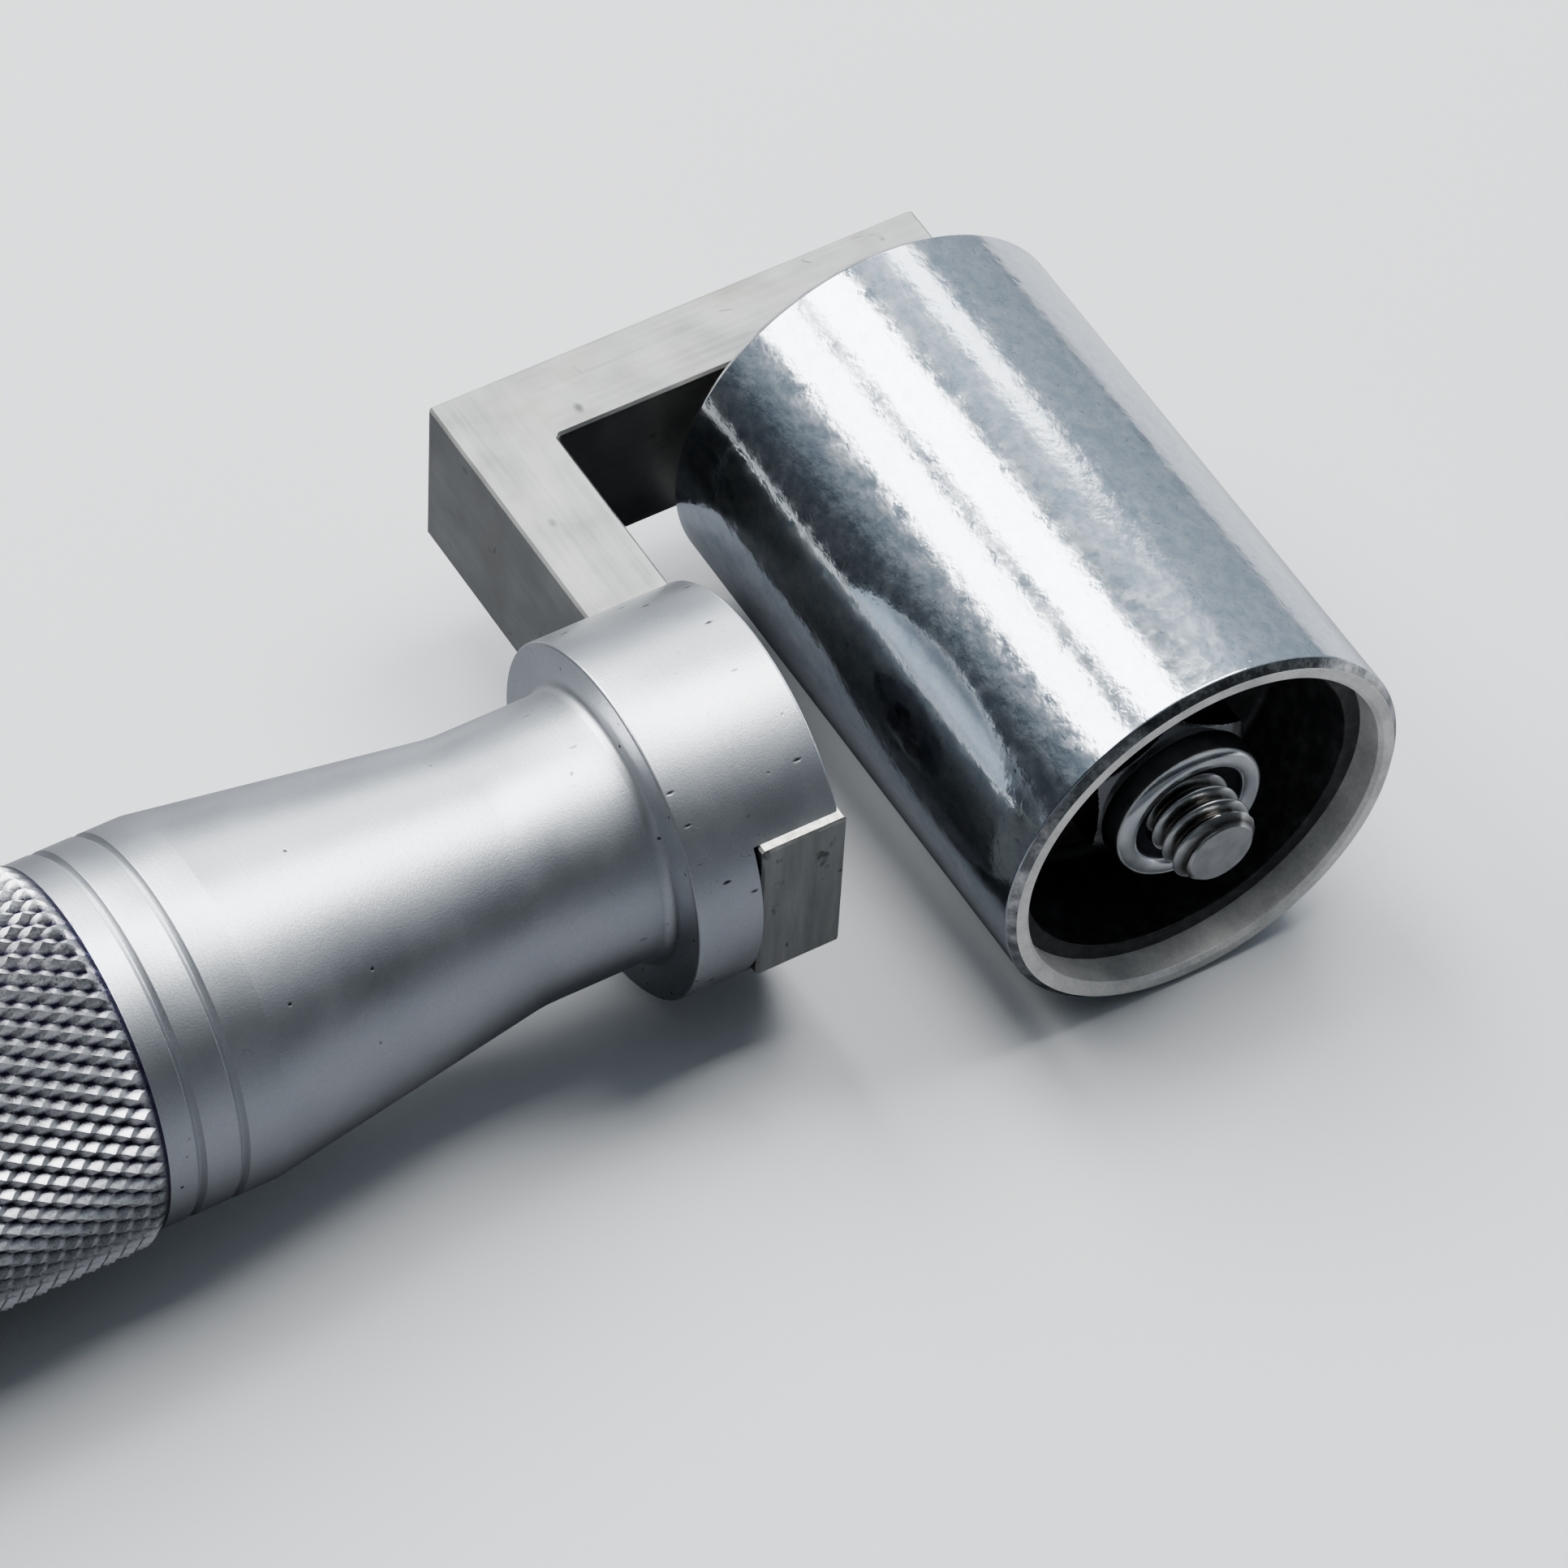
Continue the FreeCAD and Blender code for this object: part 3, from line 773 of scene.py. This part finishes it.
def knurled_alloy():
    """Aluminium knurl: bright worn tips, and a dark bluish colour down in the grooves, partly dirt
    and partly painted shade.
    """
    material, tree, shader = new_finish("knurled_alloy", 1.0)
    radius = radius_about(tree, COLLAR_FRONT, (0.0, 1.0, 1.0))
    floor_r = (KNURL_R - KNURL_DEPTH) * MM
    depth = span(tree, radius, floor_r, KNURL_R * MM)
    grain = noise(tree, 0.14, 3.0)
    soiled = combined(tree, "ADD", depth, combined(tree, "MULTIPLY", grain, 0.25))
    # Darker with depth into the grooves: dirt, and painted shade where the grooves are shaded.
    dirt_and_groove_shade = span(tree, soiled, 0.72, 0.30)
    bright = blended(tree, span(tree, grain, 0.3, 0.7), (0.66, 0.665, 0.69), (0.80, 0.80, 0.81))
    colour = blended(tree, dirt_and_groove_shade, bright, (0.045, 0.04, 0.08))
    roughness = span(tree, grain, 0.3, 0.7, 0.26, 0.40)
    connect(tree, shader, colour, roughness, bumps(tree, grain, 0.008))
    return material


def plated_steel():
    """Bright zinc plating: cloudy crystals, soft ripples, fine dark flecks, faint scratches."""
    material, tree, shader = new_finish("plated_steel", 1.0)
    cells = node(
        tree, "ShaderNodeTexVoronoi", {"Vector": stretched(tree, (1.3, 1.0, 1.3)), "Scale": 1.0}
    )
    crystal = combined(tree, "MULTIPLY", cells.outputs["Color"], 0.3)
    cloud = noise(tree, 3.0, 3.0, (1, 1.6, 1))
    mottle = noise(tree, 0.9, 3.0, (1, 1.3, 1))
    marks = scratches(tree, 2.6, 0.010, 0.40)
    mixed = combined(tree, "ADD", combined(tree, "MULTIPLY", cloud, 0.4), mottle)
    stained = combined(tree, "ADD", mixed, crystal)
    light = blended(tree, span(tree, stained, 0.55, 1.05), (0.55, 0.63, 0.71), (0.76, 0.81, 0.86))
    grit = span(tree, noise(tree, 0.30, 3.0, roughness=0.6), 0.52, 0.70, 0.0, 0.40)
    gritty = blended(tree, grit, light, (0.42, 0.47, 0.52))
    flecks = combined(tree, "MULTIPLY", scratches(tree, 1.1, 0.020, 0.42), 0.55)
    flecked = blended(tree, flecks, gritty, (0.22, 0.25, 0.28))
    colour = blended(tree, combined(tree, "MULTIPLY", marks, 0.4), flecked, (0.86, 0.89, 0.92))
    roughness = span(tree, stained, 0.55, 1.05, 0.08, 0.17)
    raised = combined(tree, "ADD", mixed, combined(tree, "MULTIPLY", marks, 0.08))
    connect(tree, shader, colour, roughness, bumps(tree, raised, 0.030))
    return material


def bare_steel():
    """Turned end of the tube and the mouth of its bore: dull bare steel with stains."""
    material, tree, shader = new_finish("bare_steel", 0.45)
    patches = noise(tree, 3.0, 5.0, roughness=0.65)
    grit = noise(tree, 0.22, 4.0, roughness=0.7)
    mixed = combined(tree, "ADD", patches, combined(tree, "MULTIPLY", grit, 0.5))
    colour = blended(tree, span(tree, mixed, 0.55, 0.95), (0.50, 0.50, 0.49), (0.82, 0.81, 0.785))
    roughness = span(tree, grit, 0.3, 0.7, 0.38, 0.58)
    connect(tree, shader, colour, roughness, bumps(tree, grit, 0.03))
    return material


def stained_chamfer():
    """Chamfer of the tube's rims: dark stained steel, bright where handling has worn it."""
    material, tree, shader = new_finish("stained_chamfer", 1.0)
    patches = noise(tree, 1.8, 5.0, roughness=0.6)
    grit = noise(tree, 0.25, 3.0)
    mixed = combined(tree, "ADD", patches, combined(tree, "MULTIPLY", grit, 0.2))
    colour = blended(tree, span(tree, mixed, 0.50, 0.78), (0.22, 0.225, 0.235), (0.86, 0.86, 0.85))
    roughness = span(tree, grit, 0.3, 0.7, 0.14, 0.26)
    connect(tree, shader, colour, roughness, bumps(tree, mixed, 0.02))
    return material


def milled_bar():
    """Milled aluminium flat bar: warm grey, streaks along each limb, dark marks, sawn leg end, with
    painted light in patches on the top face near that end. The faces towards the roller are darker:
    painted shade on the arm's face in the roller's shade, and the leg's front face darkened with it."""
    material, tree, shader = new_finish("milled_bar", 1.0)
    along_x = own_place_along(tree, "X")
    along_y = own_place_along(tree, "Y")
    leg_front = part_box("bracket_screw")[1].x
    leg_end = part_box("bracket")[0].y
    on_arm = combined(tree, "GREATER_THAN", along_x, leg_front + 0.5 * MM)
    at_end = combined(tree, "LESS_THAN", along_y, leg_end + 0.15 * MM)
    along_leg = noise(tree, 0.35, 3.0, (1, 30, 1))
    along_arm = noise(tree, 0.35, 3.0, (30, 1, 1))
    sawn = noise(tree, 0.9, 4.0, (1, 1, 9), 0.6)
    spots = span(tree, noise(tree, 2.2, 4.0, roughness=0.65), 0.60, 0.66, 0.0, 0.75)
    cloud = noise(tree, 4.0, 4.0)
    leg_grain = combined(tree, "MULTIPLY", along_leg, combined(tree, "SUBTRACT", 1.0, on_arm))
    grain = combined(tree, "ADD", leg_grain, combined(tree, "MULTIPLY", along_arm, on_arm))
    dents = pits(tree, 4.5, 0.45, 0.5, (1, 1.5, 1))
    marks = scratches(tree, 5.0, 0.008, 0.40)
    mixed = combined(tree, "ADD", combined(tree, "MULTIPLY", grain, 0.5), cloud)
    light = blended(tree, span(tree, mixed, 0.5, 1.0), (0.27, 0.275, 0.27), (0.39, 0.39, 0.38))
    soiled = span(tree, noise(tree, 7.0, 4.0, roughness=0.6), 0.50, 0.68, 0.0, 0.45)
    stained = blended(tree, soiled, light, (0.24, 0.225, 0.19))
    marked = blended(tree, combined(tree, "MAXIMUM", dents, marks), stained, (0.12, 0.12, 0.12))
    streaked = blended(tree, span(tree, sawn, 0.3, 0.7), (0.33, 0.34, 0.33), (0.52, 0.52, 0.50))
    spotted = blended(tree, spots, streaked, (0.10, 0.105, 0.10))
    ended = blended(tree, at_end, marked, spotted)
    # Faces towards the roller are darkened: painted shade on the arm's face, which the roller
    # shades, and the leg's front face darkened with it.
    facing = node(tree, "ShaderNodeTexCoord").outputs["Normal"]
    facings = node(tree, "ShaderNodeSeparateXYZ", {"Vector": facing})
    to_front = combined(tree, "GREATER_THAN", facings.outputs["X"], 0.9)
    at_front = combined(tree, "MULTIPLY", to_front, combined(tree, "SUBTRACT", 1.0, on_arm))
    to_roller = combined(tree, "LESS_THAN", facings.outputs["Y"], -0.9)
    at_arm = combined(tree, "MULTIPLY", to_roller, on_arm)
    inside = combined(tree, "MULTIPLY", combined(tree, "MAXIMUM", at_front, at_arm), 0.65)
    # The top face near the leg's end is painted lighter in patches, as painted light from above.
    on_top = combined(tree, "GREATER_THAN", facings.outputs["Z"], 0.9)
    past_collar = combined(tree, "LESS_THAN", along_y, leg_end + 1.2 * MM)
    patches = span(tree, noise(tree, 0.8, 4.0, roughness=0.65), 0.35, 0.65)
    painted_top_light = blended(tree, patches, (0.42, 0.40, 0.33), (0.97, 0.96, 0.90))
    topped = blended(tree, combined(tree, "MULTIPLY", on_top, past_collar), ended, painted_top_light)
    colour = blended(tree, inside, topped, (0.06, 0.062, 0.065))
    roughness = span(tree, mixed, 0.5, 1.0, 0.36, 0.50)
    height = combined(tree, "SUBTRACT", grain, combined(tree, "MULTIPLY", dents, 2.0))
    connect(tree, shader, colour, roughness, bumps(tree, height, 0.012))
    return material


def small_steel(name, dark, bright, smooth, dull):
    """Small steel piece: faint stains and fine grain, between two colours and two roughnesses."""
    material, tree, shader = new_finish(name, 1.0)
    stains = noise(tree, 1.6, 4.0)
    grain = noise(tree, 0.12, 3.0)
    mixed = combined(tree, "ADD", stains, combined(tree, "MULTIPLY", grain, 0.4))
    colour = blended(tree, span(tree, mixed, 0.45, 0.95), dark, bright)
    roughness = span(tree, mixed, 0.45, 0.95, smooth, dull)
    connect(tree, shader, colour, roughness, bumps(tree, mixed, 0.01))
    return material


def threaded_steel():
    """Stud: worn bright crests, and a brown-black colour down in the thread, partly grime and partly
    painted shade.
    """
    material, tree, shader = new_finish("threaded_steel", 1.0)
    radius = radius_about(tree, ROLLER_CENTRE, (1.0, 0.0, 1.0))
    stains = noise(tree, 1.2, 4.0)
    grain = noise(tree, 0.15, 3.0)
    root_r = (AXLE_R - THREAD_DEPTH) * MM
    depth = span(tree, radius, root_r, AXLE_R * MM)
    soiled = combined(tree, "ADD", depth, combined(tree, "MULTIPLY", stains, 0.25))
    station = own_place_along(tree, "Y")
    end_y = ROLLER_CENTRE.y + AXLE_END * MM
    inward = span(tree, station, end_y + 0.02 * MM, end_y + 0.3 * MM)
    # Darker with depth into the thread's roots: grime, and painted shade in the roots.
    grime_and_root_shade = combined(tree, "MULTIPLY", span(tree, soiled, 0.95, 0.35), inward)
    bright = blended(tree, span(tree, stains, 0.35, 0.7), (0.58, 0.59, 0.59), (0.78, 0.78, 0.77))
    colour = blended(tree, grime_and_root_shade, bright, (0.09, 0.085, 0.075))
    roughness = span(tree, grain, 0.3, 0.7, 0.18, 0.26)
    connect(tree, shader, colour, roughness, bumps(tree, grain, 0.003))
    return material


def nut_steel():
    """Zinc-plated nut: bright crimped collar, and the hexagon below it painted dark, as painted
    shade down in the hub's cup.
    """
    material, tree, shader = new_finish("nut_steel", 1.0)
    station = own_place_along(tree, "Y")
    stains = noise(tree, 1.4, 4.0)
    grain = noise(tree, 0.15, 3.0)
    bright = blended(tree, span(tree, stains, 0.35, 0.7), (0.72, 0.75, 0.78), (0.95, 0.96, 0.97))
    # The hexagon below the collar sits down in the hub's cup: painted shade darkens it.
    collar_end = ROLLER_CENTRE.y + NUT_HEX_TOP * MM
    painted_cup_shade = span(tree, station, collar_end - 1.2 * MM, collar_end - 0.3 * MM, 0.0, 0.85)
    colour = blended(tree, painted_cup_shade, bright, (0.10, 0.10, 0.105))
    roughness = span(tree, stains, 0.35, 0.7, 0.12, 0.22)
    connect(tree, shader, colour, roughness, bumps(tree, grain, 0.005))
    return material


def moulded(name, dark, bright, smooth, dull, shine=0.5):
    """Moulded plastic or rubber: fine texture, faint dust, and no metal."""
    material, tree, shader = new_finish(name, 0.0)
    shader.inputs["Specular IOR Level"].default_value = shine
    dust = noise(tree, 1.2, 5.0, roughness=0.65)
    texture = noise(tree, 0.15, 3.0)
    colour = blended(tree, span(tree, dust, 0.45, 0.75), dark, bright)
    roughness = span(tree, texture, 0.3, 0.7, smooth, dull)
    connect(tree, shader, colour, roughness, bumps(tree, texture, 0.012))
    return material


def dress_nodes(nodes, material):
    """Gives a material to CAD nodes that stay in view."""
    for name in nodes:
        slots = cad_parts[name].data.materials
        slots.clear()
        slots.append(material)


# Stage


def direction_to(azimuth, elevation):
    """Unit vector; azimuth turns from +X to +Y."""
    level = cos(radians(elevation))
    x = level * cos(radians(azimuth))
    y = level * sin(radians(azimuth))
    return Vector((x, y, sin(radians(elevation))))


def put_in_place(thing, right, up, back, place):
    """Places a camera or a lamp, which looks along the opposite of back, and links it."""
    matrix = thing.matrix_world.copy()
    for row in range(3):
        matrix[row][:] = (right[row], up[row], back[row], place[row])
    thing.matrix_world = matrix
    bpy.context.scene.collection.objects.link(thing)


def make_camera():
    """Camera above the roller's free end, turned a little about its line of sight."""
    turn = radians(CAMERA_AZIMUTH)
    rise = radians(CAMERA_ELEVATION)
    back = Vector((sin(turn) * cos(rise), -cos(turn) * cos(rise), sin(rise)))
    level = Vector((0, 0, 1)).cross(back).normalized()
    upright = back.cross(level)
    roll = radians(CAMERA_ROLL)
    right = level * cos(roll) + upright * sin(roll)
    up = back.cross(right)
    data = bpy.data.cameras.new("camera")
    data.lens = CAMERA_LENS
    data.sensor_width = CAMERA_SENSOR
    data.clip_start = CAMERA_CLIP_START
    data.clip_end = CAMERA_CLIP_END
    camera = bpy.data.objects.new("camera", data)
    put_in_place(camera, right, up, back, CAMERA_AIM + back * CAMERA_DISTANCE)
    bpy.context.scene.camera = camera


def floor_side(tree, azimuth, start, change):
    """Rises from 0 to 1 across the floor towards azimuth, from start millimetres past the roller."""
    towards = direction_to(azimuth, 0.0)
    inputs = {0: own_place(tree), 1: towards}
    reach = node(tree, "ShaderNodeVectorMath", inputs, operation="DOT_PRODUCT")
    first = ROLLER_CENTRE.dot(towards) + start * MM
    return span(tree, reach.outputs["Value"], first, first + change * MM)


def make_floor():
    """Plain pale floor under the tool, which blends into the backdrop far away. The metal mirrors
    a darker, painted image of it, with painted shadow near the roller."""
    half = FLOOR_HALF_SIDE
    corners = [(-half, -half, 0), (half, -half, 0), (half, half, 0), (-half, half, 0)]
    mesh = bpy.data.meshes.new("floor")
    mesh.from_pydata(corners, [], [(0, 1, 2, 3)])
    material, tree, shader = new_finish("pale_floor", 0.0)
    cloud = noise(tree, 60.0, 2.0)
    colour = blended(tree, cloud, (0.70, 0.71, 0.73), (0.74, 0.75, 0.76))
    tree.links.new(colour, shader.inputs["Base Color"])
    shader.inputs["Roughness"].default_value = 0.9
    inputs = {0: own_place(tree), 1: ROLLER_CENTRE}
    from_roller = node(tree, "ShaderNodeVectorMath", inputs, operation="DISTANCE")
    fade = span(tree, from_roller.outputs["Value"], FLOOR_FADE_START, FLOOR_FADE_END)
    backdrop = node(
        tree, "ShaderNodeEmission", {"Color": PALE_BACKDROP, "Strength": BACKDROP_STRENGTH}
    )
    # The floor's image in the metal is painted: dark near the roller and almost black on the
    # camera's left, as painted shadow.
    far = floor_side(tree, FAR_FLOOR_AZIMUTH, FAR_FLOOR_START, FAR_FLOOR_CHANGE)
    left = floor_side(tree, LEFT_FLOOR_AZIMUTH, LEFT_FLOOR_START, LEFT_FLOOR_CHANGE)
    lighter = blended(tree, far, NEAR_FLOOR_MIRRORED, FAR_FLOOR_MIRRORED)
    painted_floor_image = blended(tree, left, lighter, LEFT_FLOOR_MIRRORED)
    dull = node(tree, "ShaderNodeBsdfDiffuse", {"Color": painted_floor_image})
    in_mirror = node(tree, "ShaderNodeLightPath").outputs["Is Glossy Ray"]
    seen = mixed_shader(tree, fade, shader, backdrop)
    mix = mixed_shader(tree, in_mirror, seen, dull)
    tree.links.new(mix.outputs[0], tree.nodes["Material Output"].inputs["Surface"])
    mesh.materials.append(material)
    floor = bpy.data.objects.new("floor", mesh)
    bpy.context.scene.collection.objects.link(floor)


def make_surroundings():
    """Studio around the tool, from its bright side to its dark side. The camera itself sees a
    plain pale backdrop."""
    world = bpy.data.worlds.new("studio")
    world.use_nodes = True
    tree = world.node_tree
    tree.nodes.clear()
    way = node(tree, "ShaderNodeTexCoord").outputs["Generated"]
    bright_side = direction_to(BRIGHT_SIDE_AZIMUTH, BRIGHT_SIDE_ELEVATION)
    closeness = node(
        tree, "ShaderNodeVectorMath", {0: way, 1: bright_side}, operation="DOT_PRODUCT"
    ).outputs["Value"]
    ramp = node(tree, "ShaderNodeValToRGB", {"Fac": span(tree, closeness, -1.0, 1.0)})
    stops = ramp.color_ramp.elements
    while len(stops) < len(SURROUNDINGS):
        stops.new(0.5)
    for stop, (position, level) in zip(stops, SURROUNDINGS):
        stop.position = position
        stop.color = (*[level * part for part in SKY_TINT], 1.0)
    seen = node(tree, "ShaderNodeLightPath").outputs["Is Camera Ray"]
    studio = node(tree, "ShaderNodeBackground", {"Color": ramp.outputs["Color"]})
    backdrop = node(
        tree, "ShaderNodeBackground", {"Color": PALE_BACKDROP, "Strength": BACKDROP_STRENGTH}
    )
    mix = mixed_shader(tree, seen, studio, backdrop)
    output = node(tree, "ShaderNodeOutputWorld")
    tree.links.new(mix.outputs[0], output.inputs["Surface"])
    bpy.context.scene.world = world


def softbox(name, azimuth, elevation, width, length, radiance):
    """Rectangular soft light that faces the roller, its length along the roller's axis.
    radiance is how bright its face looks."""
    data = bpy.data.lights.new(name, "AREA")
    data.shape = "RECTANGLE"
    data.size = width
    data.size_y = length
    data.energy = radiance * pi * width * length
    light = bpy.data.objects.new(name, data)
    towards = direction_to(azimuth, elevation)
    across = Vector((0, 1, 0)).cross(towards).normalized()
    along = towards.cross(across)
    light.visible_camera = False
    put_in_place(light, across, along, towards, ROLLER_CENTRE + towards * LIGHT_DISTANCE)


def make_lights():
    """Two strips side by side, a weaker strip to their right that the roller's far half mirrors,
    and a box overhead for the handle's broad highlight."""
    softbox("upper_strip", 98.5, 57.9, 0.205, 0.46, 13.0)
    softbox("lower_strip", 132.0, 44.4, 0.175, 0.46, 12.0)
    softbox("right_strip", 57.0, 34.0, 0.10, 0.25, 5.2)
    softbox("overhead_box", 16.0, 69.0, 0.32, 0.32, 12.5)


# Scene

make_camera()
make_floor()
make_surroundings()
make_lights()

zinc_fastener = small_steel("zinc_fastener", (0.62, 0.64, 0.66), (0.93, 0.94, 0.95), 0.12, 0.24)
black_nylon = moulded("black_nylon", (0.012, 0.012, 0.014), (0.05, 0.05, 0.05), 0.28, 0.42)
make_handle(blasted_alloy(), knurled_alloy())
make_tube(plated_steel(), bare_steel(), stained_chamfer())
make_hub("near_hub_cup", "near_hub", NEAR_RIM, 1, black_nylon)
make_hub("far_hub_cup", "far_hub", FAR_RIM, -1, black_nylon)
make_axle(threaded_steel())
make_lock_nut(nut_steel())

ground = small_steel("ground_steel", (0.50, 0.51, 0.53), (0.72, 0.73, 0.74), 0.10, 0.22)
pressed = small_steel("pressed_steel", (0.34, 0.35, 0.36), (0.58, 0.58, 0.59), 0.28, 0.42)
black_oxide = small_steel("black_screw_steel", (0.05, 0.05, 0.055), (0.13, 0.13, 0.14), 0.25, 0.4)
rubber = moulded("black_rubber", (0.015, 0.015, 0.016), (0.04, 0.04, 0.042), 0.5, 0.7)
insert_nylon = moulded(
    "insert_nylon", (0.005, 0.006, 0.01), (0.014, 0.016, 0.024), 0.45, 0.6, 0.1
)
dress_nodes(("bracket",), milled_bar())
dress_nodes(("bracket_screw",), black_oxide)
dress_nodes(("arm_spacer", "spacer_tube", "nut_washer"), zinc_fastener)
dress_nodes(("lock_nut_insert",), insert_nylon)
for bearing in ("near_bearing", "far_bearing"):
    dress_nodes((bearing + "_inner_ring", bearing + "_outer_ring", bearing + "_balls"), ground)
    dress_nodes((bearing + "_ball_cage",), pressed)
    dress_nodes((bearing + "_free_side_seal", bearing + "_arm_side_seal"), rubber)
